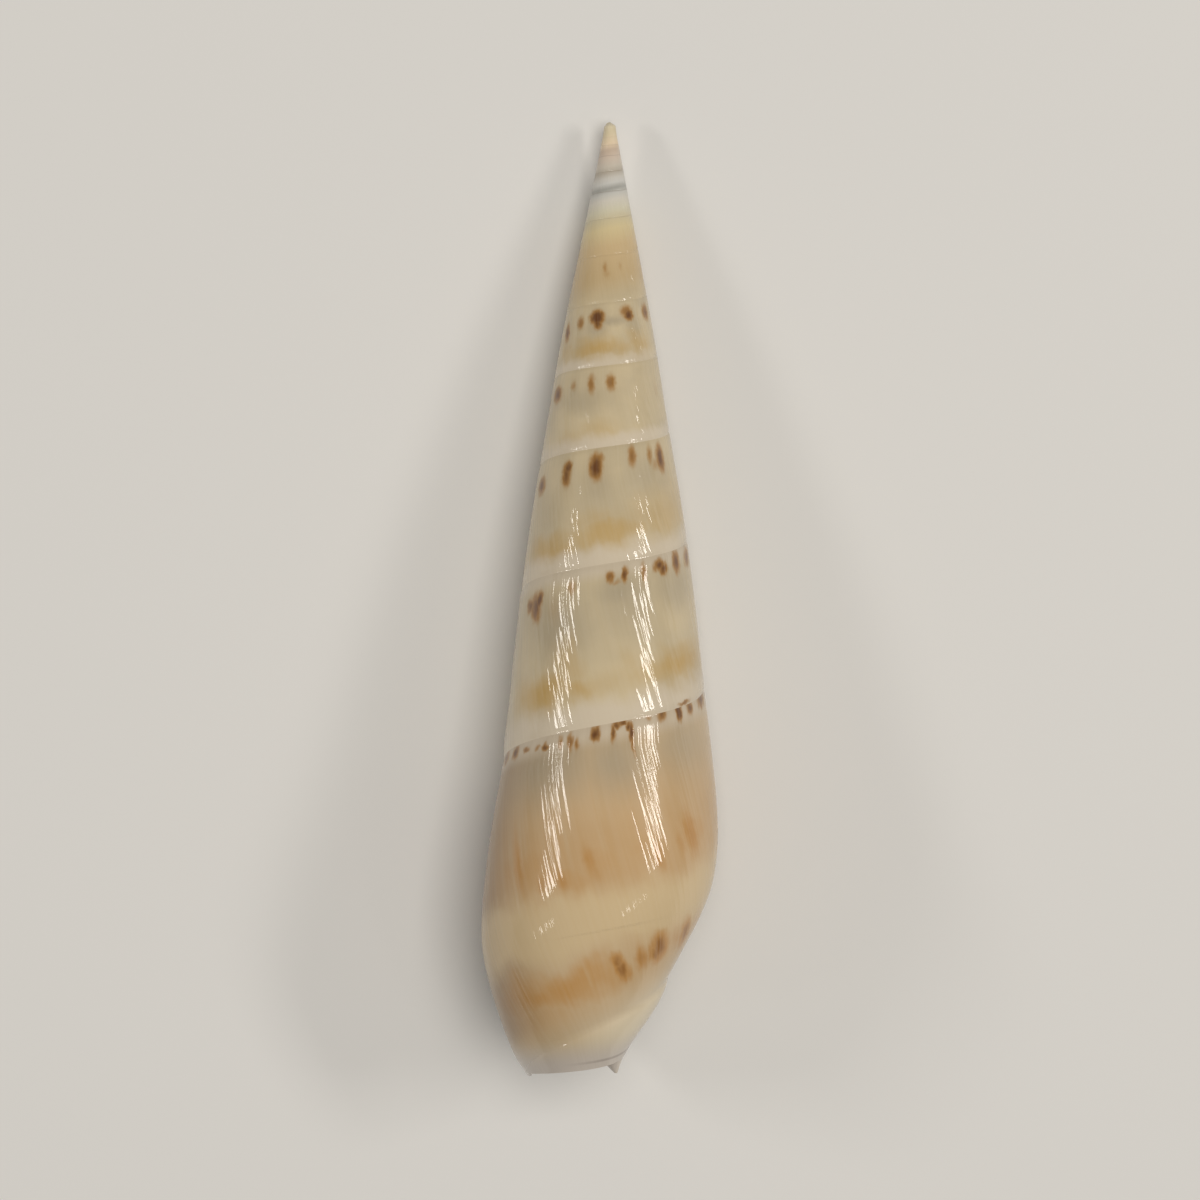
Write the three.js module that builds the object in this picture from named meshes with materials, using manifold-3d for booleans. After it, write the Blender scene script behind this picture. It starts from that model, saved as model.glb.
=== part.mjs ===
// Shell of Hastula nimbosa, a slender dextral auger snail, lying on its aperture side.
// Millimetres, +Z up. The apex points along +Y and the back of the shell faces up.
import * as THREE from "three";
import { mergeVertices } from "three/addons/utils/BufferGeometryUtils.js";
import Module from "manifold-3d";

// Overall length along the axis, from the tip to the lower corner of the lip.
const LENGTH = 42;

// The tables below are drawn in units of which the length takes 954.6.
// A depth is measured along the axis from the tip, and a radius from the axis.
// An angle is counted in turns of growth, 0 where the body whorl passes the right-hand
// side seen from the back, 0.25 on the middle of the back, and negative further up the spire.
const UNIT = LENGTH / 954.6;

// Depth of the suture where each whorl crosses the middle of the back.
const SUTURE = [
  [-12.75, 4],
  [-11.75, 8.5],
  [-10.75, 15.5],
  [-9.75, 23.5],
  [-8.75, 34],
  [-7.75, 50],
  [-6.75, 70],
  [-5.75, 97],
  [-4.75, 134],
  [-3.75, 182],
  [-2.75, 245],
  [-1.75, 326],
  [-0.75, 442],
  [0.25, 600],
  [1.25, 805],
];
// The sutures lean: this share of the radius lower on the right, higher on the left.
const SUTURE_LEAN = 0.105;

// Radius of the spire at each depth.
const SPIRE = [
  [0, 0.8],
  [1.2, 3.8],
  [4, 5.5],
  [9, 6.3],
  [15, 7.2],
  [24, 8.9],
  [40, 12],
  [80, 19.7],
  [140, 31.6],
  [220, 47],
  [300, 60.2],
  [400, 76.8],
  [460, 85],
  [540, 94],
  [640, 104.6],
  [740, 114],
];

// Radius of the body whorl from its suture (0) to the ridge of the fasciole (1):
// half a turn before the right-hand side, on it, and half a turn after it.
const BODY = [
  [0, 86.7, 96.6, 104.4],
  [0.03, 87.6, 97.6, 105.4],
  [0.12, 90.1, 100.8, 110.6],
  [0.25, 94.2, 104.9, 117.3],
  [0.4, 98.3, 109, 123.2],
  [0.5, 101.7, 110.4, 125.7],
  [0.6, 103.9, 109.1, 125.6],
  [0.7, 99, 104, 120],
  [0.8, 88, 92.5, 111],
  [0.9, 73, 77, 99.5],
  [0.95, 64, 68.8, 92.5],
  [1, 54, 60.5, 82],
];
// How fast the body whorl and the ridge widen in one turn.
const WHORL_GROWTH = 1.26;
const RIDGE_GROWTH = 1.277;
const RIDGE_DEPTH = 843;

// Rim of the siphonal notch: angle, radius, depth.
const RIM = [
  [-0.5, 15, 908],
  [-0.25, 15.5, 912],
  [-0.1, 17, 919],
  [0, 19.2, 925],
  [0.1, 25, 932],
  [0.25, 45, 941],
  [0.375, 64, 947.5],
  [0.5, 79, 952],
  [0.55, 82.2, 954.6],
  [0.65, 88, 958],
];

// The outer lip starts at the suture at this angle and falls back by LIP_LAG at its lower corner.
const LIP_ANGLE = 0.65;
const LIP_LAG = 0.1;
const FIRST_ANGLE = -12.35;

// How far the tip stands to the right of the axis, and where the bend ends.
const SPIRE_BEND = 2.4;
const SPIRE_BEND_DEPTH = 300;

// Depth of the groove along the suture, as a share of the radius, and its half width.
const GROOVE = 0.012;
const GROOVE_WIDTH = 0.035;

// The space inside: where it ends up in the spire, and the thickness of the wall.
const CAVITY_START = -0.9;
const WALL = 9.5;
const LIP_WALL = 3.4;
const CALLUS = 1.6;

// Columella that ends in a point beside the notch: depth, radius, offset to the right.
const COLUMELLA = [
  [640, 4, 0],
  [700, 11, 0],
  [780, 16, 0],
  [850, 17.5, 0],
  [895, 17.5, 0],
  [910, 16.8, 1],
  [925, 14.3, 5],
  [932, 11, 5],
  [940, 6.5, 6.5],
  [946, 3.2, 7.8],
  [949.5, 0.8, 8.4],
];

// The resting position: the spire tips down by PITCH degrees and the shell rolls by ROLL
// degrees to the left, and the ground takes a slice of FLAT off the place it touches.
const PITCH = 6.7;
const ROLL = 0;
const FLAT = 0.06;

const SEGMENTS = 40;

// A smooth curve through rows of [x, y1, y2, ...], straight beyond the ends.
function curve(rows, column = 1) {
  const n = rows.length;
  const slope = (i, j) =>
    (rows[j][column] - rows[i][column]) / (rows[j][0] - rows[i][0]);
  const tangent = rows.map((row, i) => {
    if (i === 0) return slope(0, 1);
    if (i === n - 1) return slope(n - 2, n - 1);
    const before = rows[i][0] - rows[i - 1][0];
    const after = rows[i + 1][0] - rows[i][0];
    return (slope(i - 1, i) * after + slope(i, i + 1) * before) / (before + after);
  });
  return (x) => {
    if (x <= rows[0][0]) return rows[0][column] + tangent[0] * (x - rows[0][0]);
    if (x >= rows[n - 1][0])
      return rows[n - 1][column] + tangent[n - 1] * (x - rows[n - 1][0]);
    let i = 0;
    while (x > rows[i + 1][0]) i += 1;
    const step = rows[i + 1][0] - rows[i][0];
    const s = (x - rows[i][0]) / step;
    const a = (1 + 2 * s) * (1 - s) ** 2;
    const b = s * (1 - s) ** 2;
    const c = s * s * (3 - 2 * s);
    const d = s * s * (s - 1);
    return (
      a * rows[i][column] +
      b * step * tangent[i] +
      c * rows[i + 1][column] +
      d * step * tangent[i + 1]
    );
  };
}

const clamp01 = (x) => Math.min(1, Math.max(0, x));
const ease = (x) => clamp01(x) ** 2 * (3 - 2 * clamp01(x));

const sutureDepth = curve(SUTURE);
const spireRadius = curve(SPIRE);
const bodyBefore = curve(BODY, 1);
const bodyRight = curve(BODY, 2);
const bodyLeft = curve(BODY, 3);
const rimRadius = curve(RIM, 1);
const rimDepth = curve(RIM, 2);

// Depth of the upper suture of the whorl at an angle.
function suture(t) {
  const middle = sutureDepth(t);
  return middle + SUTURE_LEAN * spireRadius(middle) * Math.cos(2 * Math.PI * t);
}

// Depth of the ridge at the top of the fasciole.
function ridge(t) {
  const late = Math.max(0, t - 0.25);
  return (RIDGE_DEPTH + 10) * RIDGE_GROWTH ** t - 10 - 122 * late * late;
}

// Radius of the body whorl at f, from the suture (0) to the ridge (1).
function bodyRadius(t, f) {
  if (t < -0.5) return bodyBefore(f) * WHORL_GROWTH ** (t + 0.5);
  if (t < 0)
    return bodyBefore(f) + (bodyRight(f) - bodyBefore(f)) * (t + 0.5) * 2;
  return bodyRight(f) + (bodyLeft(f) - bodyRight(f)) * t * 2;
}

// A point of the fasciole at g, from the ridge (0) to the rim of the notch (1).
function fasciole(t, g) {
  const r0 = bodyRadius(t, 1);
  const z0 = ridge(t);
  const r3 = rimRadius(t);
  const z3 = Math.max(rimDepth(t), z0 + 1);
  // It comes out hollow from the columella and is full from the right-hand side on.
  const full = ease((t + 0.42) / 0.42);
  const r1 = r0 + full - 16 * (1 - full);
  const z1 = z0 + (0.1 + 0.2 * full) * (z3 - z0);
  const r2 = r3 + 0.27 * full * (r0 - r3);
  const z2 = z3 - (0.6 - 0.36 * full) * (z3 - z0);
  const mix = (p0, p1, p2, p3) =>
    p0 * (1 - g) ** 3 + 3 * p1 * g * (1 - g) ** 2 + 3 * p2 * g * g * (1 - g) + p3 * g ** 3;
  return { r: mix(r0, r1, r2, r3), z: mix(z0, z1, z2, z3) };
}

// How far the growth lines fall back between the suture and the ridge.
function lag(f) {
  return LIP_LAG * clamp01((f - 0.1) / 0.9) ** 1.1;
}

// How much of that lag the sections show: none a turn before the lip, all of it at the lip.
const lean = (t) => ease((t - LIP_ANGLE + 1) / 0.4);

// Radius of the outside at an angle and a depth, on the body whorl and below it.
function outsideRadius(t, z) {
  const f = (z - suture(t)) / (ridge(t) - suture(t));
  if (f <= 1) return bodyRadius(t, Math.max(0, f));
  let low = 0;
  let high = 1;
  if (z >= fasciole(t, 1).z) return rimRadius(t);
  for (let i = 0; i < 24; i += 1) {
    const middle = (low + high) / 2;
    if (fasciole(t, middle).z < z) low = middle;
    else high = middle;
  }
  return fasciole(t, low).r;
}

// The upper spire bends a little to the right.
const bend = (z) => SPIRE_BEND * (1 - ease(z / SPIRE_BEND_DEPTH));

const place = (t, r, z) => [
  (bend(z) + r * Math.cos(2 * Math.PI * t)) * UNIT,
  -z * UNIT,
  r * UNIT * Math.sin(2 * Math.PI * t),
];

// Rows of the visible band of a whorl, from its upper suture (0) to the next suture (1).
const BAND_ROWS = [0, 0.08, 0.36, 0.66, 0.92];
// Rows further down the body whorl, from the next suture (0) to the ridge (1).
const LOWER_ROWS = [0, 0.25, 0.5, 0.75, 1];
const FASCIOLE_ROWS = [0.15, 0.35, 0.6, 0.85, 1];

function bandPoint(t, w) {
  const top = suture(t);
  const z = top + w * (suture(t + 1) - top);
  const lower = t <= LIP_ANGLE - 1 ? Math.exp(-(((1 - w) / GROOVE_WIDTH) ** 2)) : 0;
  const groove = Math.exp(-((w / GROOVE_WIDTH) ** 2)) + lower;
  const f = (z - top) / (ridge(t) - top);
  const radius = t < -0.5 ? spireRadius(z) : bodyRadius(t, f);
  return { r: radius * (1 - GROOVE * groove), z, f };
}

// The outside as one closed body, filled up to the axis, with a flat wall where the lip ends.
function outside() {
  const points = [];
  const faces = [];
  const add = (t, p) => points.push(place(t, p.r, p.z)) - 1;
  const first = Math.round(FIRST_ANGLE * SEGMENTS);
  const last = Math.round(LIP_ANGLE * SEGMENTS);
  const open = last - SEGMENTS;
  const columns = new Map();

  const upper = BAND_ROWS.length;
  for (let i = first; i <= last; i += 1) columns.set(i, []);

  for (let i = first; i <= last; i += 1) {
    const angle = i / SEGMENTS;
    const column = columns.get(i);
    const blend = lean(angle);
    BAND_ROWS.forEach((w) => {
      const back = blend * lag(bandPoint(angle, w).f);
      column.push(add(angle - back, bandPoint(angle - back, w)));
    });
    if (i < open) continue;
    const share = bandPoint(angle, 1).f;
    LOWER_ROWS.forEach((v, k) => {
      if (i === open && k === 0) {
        column.push(-1);
        return;
      }
      const f = share + v * (1 - share);
      const depth = suture(angle) + f * (ridge(angle) - suture(angle));
      const sideways = lag((depth - suture(LIP_ANGLE)) / (954 - suture(LIP_ANGLE)));
      const t = angle - (blend * lag(f) + (1 - blend) * sideways);
      const z = suture(t) + f * (ridge(t) - suture(t));
      column.push(add(t, { r: bodyRadius(t, f), z }));
    });
    FASCIOLE_ROWS.forEach((g) => {
      const depth = fasciole(angle, g).z;
      const sideways = lag((depth - suture(LIP_ANGLE)) / (954 - suture(LIP_ANGLE)));
      const t = angle - (blend * LIP_LAG + (1 - blend) * sideways);
      column.push(add(t, fasciole(t, g)));
    });
  }
  // The lower edge of each whorl is the upper edge of the next.
  for (let i = first; i <= open; i += 1) columns.get(i)[upper] = columns.get(i + SEGMENTS)[0];

  const tip = points.push(place(0, 0, 0)) - 1;
  const base = points.push([0, -926 * UNIT, 0]) - 1;
  const quad = (a, b, c, d) => faces.push([a, c, b], [a, d, c]);

  for (let i = first; i < last; i += 1) {
    const here = columns.get(i);
    const next = columns.get(i + 1);
    const rows = i < open ? upper : here.length - 1;
    for (let j = 0; j < rows; j += 1) quad(here[j], here[j + 1], next[j + 1], next[j]);
    if (i >= open) faces.push([here[here.length - 1], next[next.length - 1], base]);
  }
  // The cap over the first turn.
  for (let i = first; i < first + SEGMENTS; i += 1)
    faces.push([tip, columns.get(i + 1)[0], columns.get(i)[0]]);
  for (let j = upper; j > 0; j -= 1)
    faces.push([tip, columns.get(first)[j - 1], columns.get(first)[j]]);

  // The wall at the lip, between the whorl's last section and the one a turn before.
  // Both run from the lip's end at the suture down to the axis.
  const outer = [...columns.get(last), base];
  const inner = [...columns.get(open).slice(upper), base];
  const depthOf = (index) => -points[index][1];
  let a = 1;
  let b = 1;
  faces.push([outer[0], inner[1], outer[1]]);
  while (a < outer.length - 2 || b < inner.length - 2) {
    const outerNext =
      b === inner.length - 2 ||
      (a < outer.length - 2 && depthOf(outer[a + 1]) <= depthOf(inner[b + 1]));
    if (outerNext) {
      faces.push([outer[a], inner[b], outer[a + 1]]);
      a += 1;
    } else {
      faces.push([outer[a], inner[b], inner[b + 1]]);
      b += 1;
    }
  }
  faces.push([outer[a], inner[b], base]);
  return { points, faces };
}

// The space inside: at each angle it lies between the wall of the whorl and the whorl before.
const CAVITY_ROWS = 12;
const CAVITY_PAST_LIP = 0.045;
const CORE = 8;

// Thickness of the wall, which thins to the edge of the lip and of the notch.
function wall(t, toLip, z) {
  const lip = ease(toLip / 0.12);
  const rim = ease((rimDepth(t) - z) / 60 + 0.1);
  return LIP_WALL + (WALL - LIP_WALL) * Math.min(lip, 0.35 + 0.65 * rim);
}

function cavityOuter(t, toLip, z) {
  const here = outsideRadius(t, z);
  const slope = (outsideRadius(t, z + 2) - outsideRadius(t, z - 2)) / 4;
  return here - wall(t, toLip, z) * Math.min(2.2, Math.hypot(1, slope));
}

function cavityInner(t, z) {
  const before = t - 1;
  const end = ridge(before);
  if (z < end) return Math.max(CORE, outsideRadius(before, z) + CALLUS);
  const down = clamp01((z - end) / 75);
  return CORE + (bodyRadius(before, 1) + CALLUS - CORE) * (1 - down) ** 2;
}

// Depth of row k of the space, from its top to its floor. Where the fasciole opens out,
// the last rows follow it down to the rim, and past NOTCH_ANGLE the last row leaves the shell.
const FLOOR_ABOVE_RIDGE = 8;
const FLOOR_ABOVE_RIM = 6;
const FOLLOW_ANGLE = 0.13;
const NOTCH_ANGLE = 0.15;
const BELOW = 975;
function rowDepth(t, top, k) {
  const end = ridge(t);
  const closed = top + ((end - FLOOR_ABOVE_RIDGE - top) * k) / CAVITY_ROWS;
  const follow = ease(t / FOLLOW_ANGLE);
  if (follow === 0) return closed;
  const left = CAVITY_ROWS - k;
  const drop = fasciole(t, 1).z - end;
  const fall = drop - Math.min(FLOOR_ABOVE_RIM, 0.3 * drop);
  let depth = top + ((end - top) * k) / (CAVITY_ROWS - 4);
  if (left === 0) depth = end + fall + 1 + (BELOW - end - fall) * ease((t - NOTCH_ANGLE) / 0.03);
  else if (left < 4) depth = end + fall * (1 - (left - 1) / 3);
  return closed + (depth - closed) * follow;
}

function cavity() {
  const points = [];
  const faces = [];
  const rows = [];
  const first = Math.round(CAVITY_START * SEGMENTS);
  const last = Math.round((LIP_ANGLE + CAVITY_PAST_LIP) * SEGMENTS);
  for (let i = first; i <= last; i += 1) {
    const angle = i / SEGMENTS;
    const blend = lean(angle);
    const low = angle - blend * LIP_LAG;
    const floor = rowDepth(low, 0, CAVITY_ROWS);
    const side = suture(angle);
    const span = ridge(angle) - side;
    const gap = (z) => {
      const t = angle - blend * lag(clamp01((z - side) / span));
      return cavityOuter(t, LIP_ANGLE - angle, z) - cavityInner(t, z);
    };
    let top = side + 4;
    while (gap(top) < 2.5 && top < floor - 40) top += 1;
    const outer = [];
    const inner = [];
    for (let k = 0; k <= CAVITY_ROWS; k += 1) {
      const z = rowDepth(low, top, k);
      const t = angle - blend * lag(clamp01((z - side) / span));
      const far = cavityOuter(t, LIP_ANGLE - angle, z);
      const near = Math.min(cavityInner(t, z), far - 2);
      outer.push(points.push(place(t, far, z)) - 1);
      inner.push(points.push(place(t, near, z)) - 1);
    }
    rows.push([...outer, ...inner.reverse()]);
  }
  const around = rows[0].length;
  for (let i = 0; i < rows.length - 1; i += 1)
    for (let j = 0; j < around; j += 1) {
      const next = (j + 1) % around;
      faces.push([rows[i][j], rows[i + 1][j], rows[i + 1][next]]);
      faces.push([rows[i][j], rows[i + 1][next], rows[i][next]]);
    }
  // The two ends, each a ladder between the outer and the inner side.
  for (let k = 0; k < CAVITY_ROWS; k += 1) {
    const far = around - 1 - k;
    const start = rows[0];
    const end = rows[rows.length - 1];
    faces.push([start[k], start[k + 1], start[far - 1]], [start[k], start[far - 1], start[far]]);
    faces.push([end[k], end[far - 1], end[k + 1]], [end[k], end[far], end[far - 1]]);
  }
  return { points, faces };
}

function columella() {
  const sides = 16;
  const points = [];
  const faces = [];
  COLUMELLA.forEach(([z, r, shift]) => {
    for (let i = 0; i < sides; i += 1) {
      const angle = (2 * Math.PI * i) / sides;
      points.push([
        (shift + r * Math.cos(angle)) * UNIT,
        -z * UNIT,
        r * UNIT * Math.sin(angle),
      ]);
    }
  });
  const top = points.push([0, -COLUMELLA[0][0] * UNIT, 0]) - 1;
  const bottom = points.push([8.4 * UNIT, -949.8 * UNIT, 0]) - 1;
  for (let k = 0; k < COLUMELLA.length - 1; k += 1)
    for (let i = 0; i < sides; i += 1) {
      const here = k * sides + i;
      const next = k * sides + ((i + 1) % sides);
      faces.push([here, next, next + sides], [here, next + sides, here + sides]);
    }
  const under = (COLUMELLA.length - 1) * sides;
  for (let i = 0; i < sides; i += 1) {
    const next = (i + 1) % sides;
    faces.push([top, next, i], [bottom, under + i, under + next]);
  }
  return { points, faces };
}

function geometryOf({ points, faces }) {
  const geometry = new THREE.BufferGeometry();
  geometry.setAttribute("position", new THREE.Float32BufferAttribute(points.flat(), 3));
  geometry.setIndex(faces.flat());
  return geometry;
}

const wasm = await Module();
wasm.setup();

function solidFrom(geometry) {
  const merged = mergeVertices(geometry, 1e-5);
  return new wasm.Manifold(
    new wasm.Mesh({
      numProp: 3,
      vertProperties: new Float32Array(merged.attributes.position.array),
      triVerts: new Uint32Array(merged.index.array),
    }),
  );
}

const solidOf = (shape) => solidFrom(geometryOf(shape));

function geometryFrom(solid) {
  const made = solid.getMesh();
  const geometry = new THREE.BufferGeometry();
  geometry.setAttribute("position", new THREE.BufferAttribute(made.vertProperties, 3));
  geometry.setIndex(new THREE.BufferAttribute(made.triVerts, 1));
  return geometry;
}

const hollow = solidOf(outside()).subtract(solidOf(cavity())).add(solidOf(columella()));

// Lay the shell down and rub it flat where it touches the ground.
const lying = geometryFrom(hollow);
lying.rotateX(-THREE.MathUtils.degToRad(PITCH));
lying.rotateY(THREE.MathUtils.degToRad(ROLL));
lying.computeBoundingBox();
const middle = lying.boundingBox.getCenter(new THREE.Vector3());
lying.translate(-middle.x, -middle.y, -FLAT - lying.boundingBox.min.z);
const ground = new THREE.BoxGeometry(2 * LENGTH, 2 * LENGTH, 2);
ground.translate(0, 0, -1);
ground.deleteAttribute("normal");
ground.deleteAttribute("uv");
const resting = solidFrom(lying).subtract(solidFrom(ground));

const shell = new THREE.Group();
const mesh = new THREE.Mesh(
  geometryFrom(resting),
  new THREE.MeshStandardMaterial({ color: 0xcdbb95, roughness: 0.28, metalness: 0 }),
);
mesh.name = "shell";
shell.add(mesh);
export default shell;
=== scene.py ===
import math

import bpy
import numpy as np
from mathutils import Matrix, Vector


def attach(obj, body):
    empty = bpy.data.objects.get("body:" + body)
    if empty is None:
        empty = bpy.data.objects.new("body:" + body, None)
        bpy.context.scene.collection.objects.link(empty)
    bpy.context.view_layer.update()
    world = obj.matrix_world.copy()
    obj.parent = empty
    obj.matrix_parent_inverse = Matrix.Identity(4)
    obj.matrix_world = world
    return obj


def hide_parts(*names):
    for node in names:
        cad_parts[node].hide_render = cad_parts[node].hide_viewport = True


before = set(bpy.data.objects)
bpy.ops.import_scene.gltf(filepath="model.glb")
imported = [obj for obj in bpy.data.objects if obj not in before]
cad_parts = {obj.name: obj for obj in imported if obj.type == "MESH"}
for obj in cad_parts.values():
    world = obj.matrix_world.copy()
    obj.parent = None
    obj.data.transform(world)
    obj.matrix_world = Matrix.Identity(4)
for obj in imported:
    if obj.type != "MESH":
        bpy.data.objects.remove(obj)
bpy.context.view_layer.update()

# The shell's own frame: a depth runs along the axis from the tip and a radius away from it, both
# in units of UNIT metres. An angle counts turns of growth: 0 is the right-hand side as seen from
# the back, 0.25 the middle of the back and 0.5 the left-hand side. Lower angles are older.
LENGTH = 954.6
UNIT = 0.042 / LENGTH

# Angle and depth of the suture.
SUTURE = (
    (-12.75, 4), (-11.75, 8.5), (-10.75, 15.5), (-9.75, 23.5), (-8.75, 34), (-7.75, 50),
    (-6.75, 70), (-5.75, 97), (-4.75, 134), (-3.75, 182), (-2.75, 245), (-1.75, 326),
    (-0.75, 442), (0.25, 600), (1.25, 805),
)
SUTURE_LEAN = 0.105
BAND_LEAN = 0.22
OLDEST_WHORL = -13
# Depth and radius of the spire.
SPIRE = (
    (0, 0.8), (1.2, 3.8), (4, 5.5), (9, 6.3), (15, 7.2), (24, 8.9), (40, 12), (80, 19.7),
    (140, 31.6), (220, 47), (300, 60.2), (400, 76.8), (460, 85), (540, 94), (640, 104.6),
    (740, 114),
)
# Share of the way from the suture to the ridge, and the body whorl's radius there at the angles
# -0.5, 0 and 0.5.
BODY = (
    (0, 86.7, 96.6, 104.4), (0.03, 87.6, 97.6, 105.4), (0.12, 90.1, 100.8, 110.6),
    (0.25, 94.2, 104.9, 117.3), (0.4, 98.3, 109, 123.2), (0.5, 101.7, 110.4, 125.7),
    (0.6, 103.9, 109.1, 125.6), (0.7, 99, 104, 120), (0.8, 88, 92.5, 111),
    (0.9, 73, 77, 99.5), (0.95, 64, 68.8, 92.5), (1, 54, 60.5, 82),
)
SPIRE_END = 640
WHORL_GROWTH = 1.26
RIDGE_GROWTH = 1.277
RIDGE_DEPTH = 843
RIDGE_ORIGIN = 10
RIDGE_LIFT = 122
RIDGE_LIFT_FROM = 0.25
FASCIOLE_FROM = -0.42
FASCIOLE_DIP = 16
# Angle, radius and depth of the rim of the notch.
RIM = (
    (-0.5, 15, 908), (-0.25, 15.5, 912), (-0.1, 17, 917), (0, 19.2, 921), (0.1, 24, 926.5),
    (0.25, 45, 940.5), (0.375, 64, 947.5), (0.5, 79, 952), (0.55, 82.2, 954.6), (0.65, 88, 958),
)
LIP_ANGLE = 0.65
LIP_LAG = 0.1
LAG_FROM = 0.1
LAG_POWER = 1.1
LAG_END = 954
LEAN_OVER = 0.4
BASE_DEPTH = 926
FIRST_ANGLE = -13.4
SPIRE_BEND = 2.4
SPIRE_BEND_DEPTH = 300
GROOVE = 0.011
GROOVE_WIDTH = 0.018

# The space inside, and the walls around it.
CAVITY_START = -0.9
CAVITY_PAST_LIP = 0.045
WALL = 9.5
LIP_WALL = 3.4
LIP_THINS_OVER = 0.12
RIM_THINS_OVER = 60
RIM_WALL_SHARE = 0.35
MOST_SLANT = 2.2
LEAST_GAP = 2.5
LEAST_SPACE = 2
CALLUS = 1.6
CORE = 8
CORE_NARROWS_OVER = 75
FLOOR_ABOVE_RIDGE = 8
FLOOR_ABOVE_RIM = 6
FLOOR_ABOVE_RIM_SHARE = 0.3
FOLLOW_ANGLE = 0.13
NOTCH_ANGLE = 0.15
NOTCH_OPENS_OVER = 0.03
BELOW = 975
# Depth and radius of the pillar in the middle, and how far it stands to the right of the axis.
COLUMELLA = (
    (640, 4, 0), (700, 11, 0), (780, 16, 0), (850, 17.5, 0), (895, 17.5, 0), (910, 16.8, 1),
    (925, 15.6, 4), (932, 12.6, 4.2), (940, 8.6, 4.9), (946, 4.8, 6.6), (951, 1.4, 8.4),
)

# How far the shell lies tilted, tip down, and how much of it the ground flattens, in metres.
PITCH = math.radians(6.7)
FLAT = 0.00006

# The camera's frame in units, its lens and film in millimetres, and the point it looks at.
FRAME_UNITS = 1200.0
LENS = 200.0
SENSOR = 36.0
CAMERA_UNITS = FRAME_UNITS * LENS / SENSOR
AIM = (-7.5, 478.0)

# How finely the shell is divided.
SEGMENTS = 240
BAND_ROWS = 18
ROWS_NEAR_SUTURE = 0.85
LOWER_ROWS = 16
FASCIOLE_ROWS = 14
CAVITY_SEGMENTS = 120
CAVITY_ROWS = 36
CAVITY_LAST_ROWS = 10
COLUMELLA_SIDES = 48
DEPTH_HALVINGS = 24
ANGLE_HALVINGS = 16
SHARP_ANGLE = math.radians(38)

# The lining starts at this depth, and this far below the skin: a length and a share of the radius.
LINING_FROM = 200
LINING_BELOW = 2.2
LINING_BELOW_SHARE = 0.01

# How near to the suture and the lip a face still counts as part of the whorl.
DEPTH_SLACK = 0.01
ANGLE_SLACK = 0.02


def curve(rows, column=1):
    """A smooth curve through rows of (x, y1, y2, ...), straight beyond the ends."""
    x = np.array([row[0] for row in rows], float)
    y = np.array([row[column] for row in rows], float)
    step = np.diff(x)
    slope = np.diff(y) / step
    tangent = np.empty(len(x))
    tangent[0] = slope[0]
    tangent[-1] = slope[-1]
    tangent[1:-1] = (slope[:-1] * step[1:] + slope[1:] * step[:-1]) / (step[:-1] + step[1:])

    def value(at):
        at = np.asarray(at, float)
        i = np.clip(np.searchsorted(x, at, side="right") - 1, 0, len(step) - 1)
        s = np.clip((at - x[i]) / step[i], 0, 1)
        inside = (
            (1 + 2 * s) * (1 - s) ** 2 * y[i]
            + s * (1 - s) ** 2 * step[i] * tangent[i]
            + s * s * (3 - 2 * s) * y[i + 1]
            + s * s * (s - 1) * step[i] * tangent[i + 1]
        )
        before = np.minimum(at - x[0], 0) * tangent[0]
        after = np.maximum(at - x[-1], 0) * tangent[-1]
        return inside + before + after

    return value


def ease(x):
    """A smooth way from 0 to 1."""
    x = np.clip(x, 0, 1)
    return x * x * (3 - 2 * x)


suture_depth = curve(SUTURE)
spire_radius = curve(SPIRE)
body_before = curve(BODY, 1)
body_right = curve(BODY, 2)
body_left = curve(BODY, 3)
rim_radius = curve(RIM, 1)
rim_depth = curve(RIM, 2)


def suture(t):
    """Depth of the suture, which leans as it goes round."""
    middle = suture_depth(t)
    return middle + SUTURE_LEAN * spire_radius(middle) * np.cos(2 * math.pi * t)


def ridge(t):
    """Depth of the ridge where the fasciole begins."""
    late = np.maximum(0, t - RIDGE_LIFT_FROM)
    grown = (RIDGE_DEPTH + RIDGE_ORIGIN) * RIDGE_GROWTH**t - RIDGE_ORIGIN
    return grown - RIDGE_LIFT * late * late


def body_radius(t, f):
    """Radius of a whorl at a share of the way from its suture (0) to its ridge (1)."""
    before, right, left = body_before(f), body_right(f), body_left(f)
    young = before * WHORL_GROWTH ** (np.minimum(t, -0.5) + 0.5)
    middle = before + (right - before) * (t + 0.5) * 2
    old = right + (left - right) * t * 2
    return np.where(t < -0.5, young, np.where(t < 0, middle, old))


def fasciole(t, g):
    """Radius and depth on the fasciole, from the ridge (0) to the rim of the notch (1).

    It is a cubic curve between the two: hollow on young whorls and full on the last one.
    """
    r0, z0 = body_radius(t, 1.0), ridge(t)
    r3 = rim_radius(t)
    z3 = np.maximum(rim_depth(t), z0 + 1)
    full = ease((t - FASCIOLE_FROM) / -FASCIOLE_FROM)
    r1 = r0 + full - FASCIOLE_DIP * (1 - full)
    z1 = z0 + (0.1 + 0.2 * full) * (z3 - z0)
    r2 = r3 + 0.27 * full * (r0 - r3)
    z2 = z3 - (0.6 - 0.36 * full) * (z3 - z0)
    a, b, c, d = (1 - g) ** 3, 3 * g * (1 - g) ** 2, 3 * g * g * (1 - g), g**3
    return a * r0 + b * r1 + c * r2 + d * r3, a * z0 + b * z1 + c * z2 + d * z3


def lag(f):
    """How far the growth lines fall back between the suture (0) and the ridge (1)."""
    return LIP_LAG * np.clip((f - LAG_FROM) / (1 - LAG_FROM), 0, 1) ** LAG_POWER


def lean(t):
    """How far the columns of points follow the growth lines: from 0 to 1 in the last turn."""
    return ease((t - LIP_ANGLE + 1) / LEAN_OVER)


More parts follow.
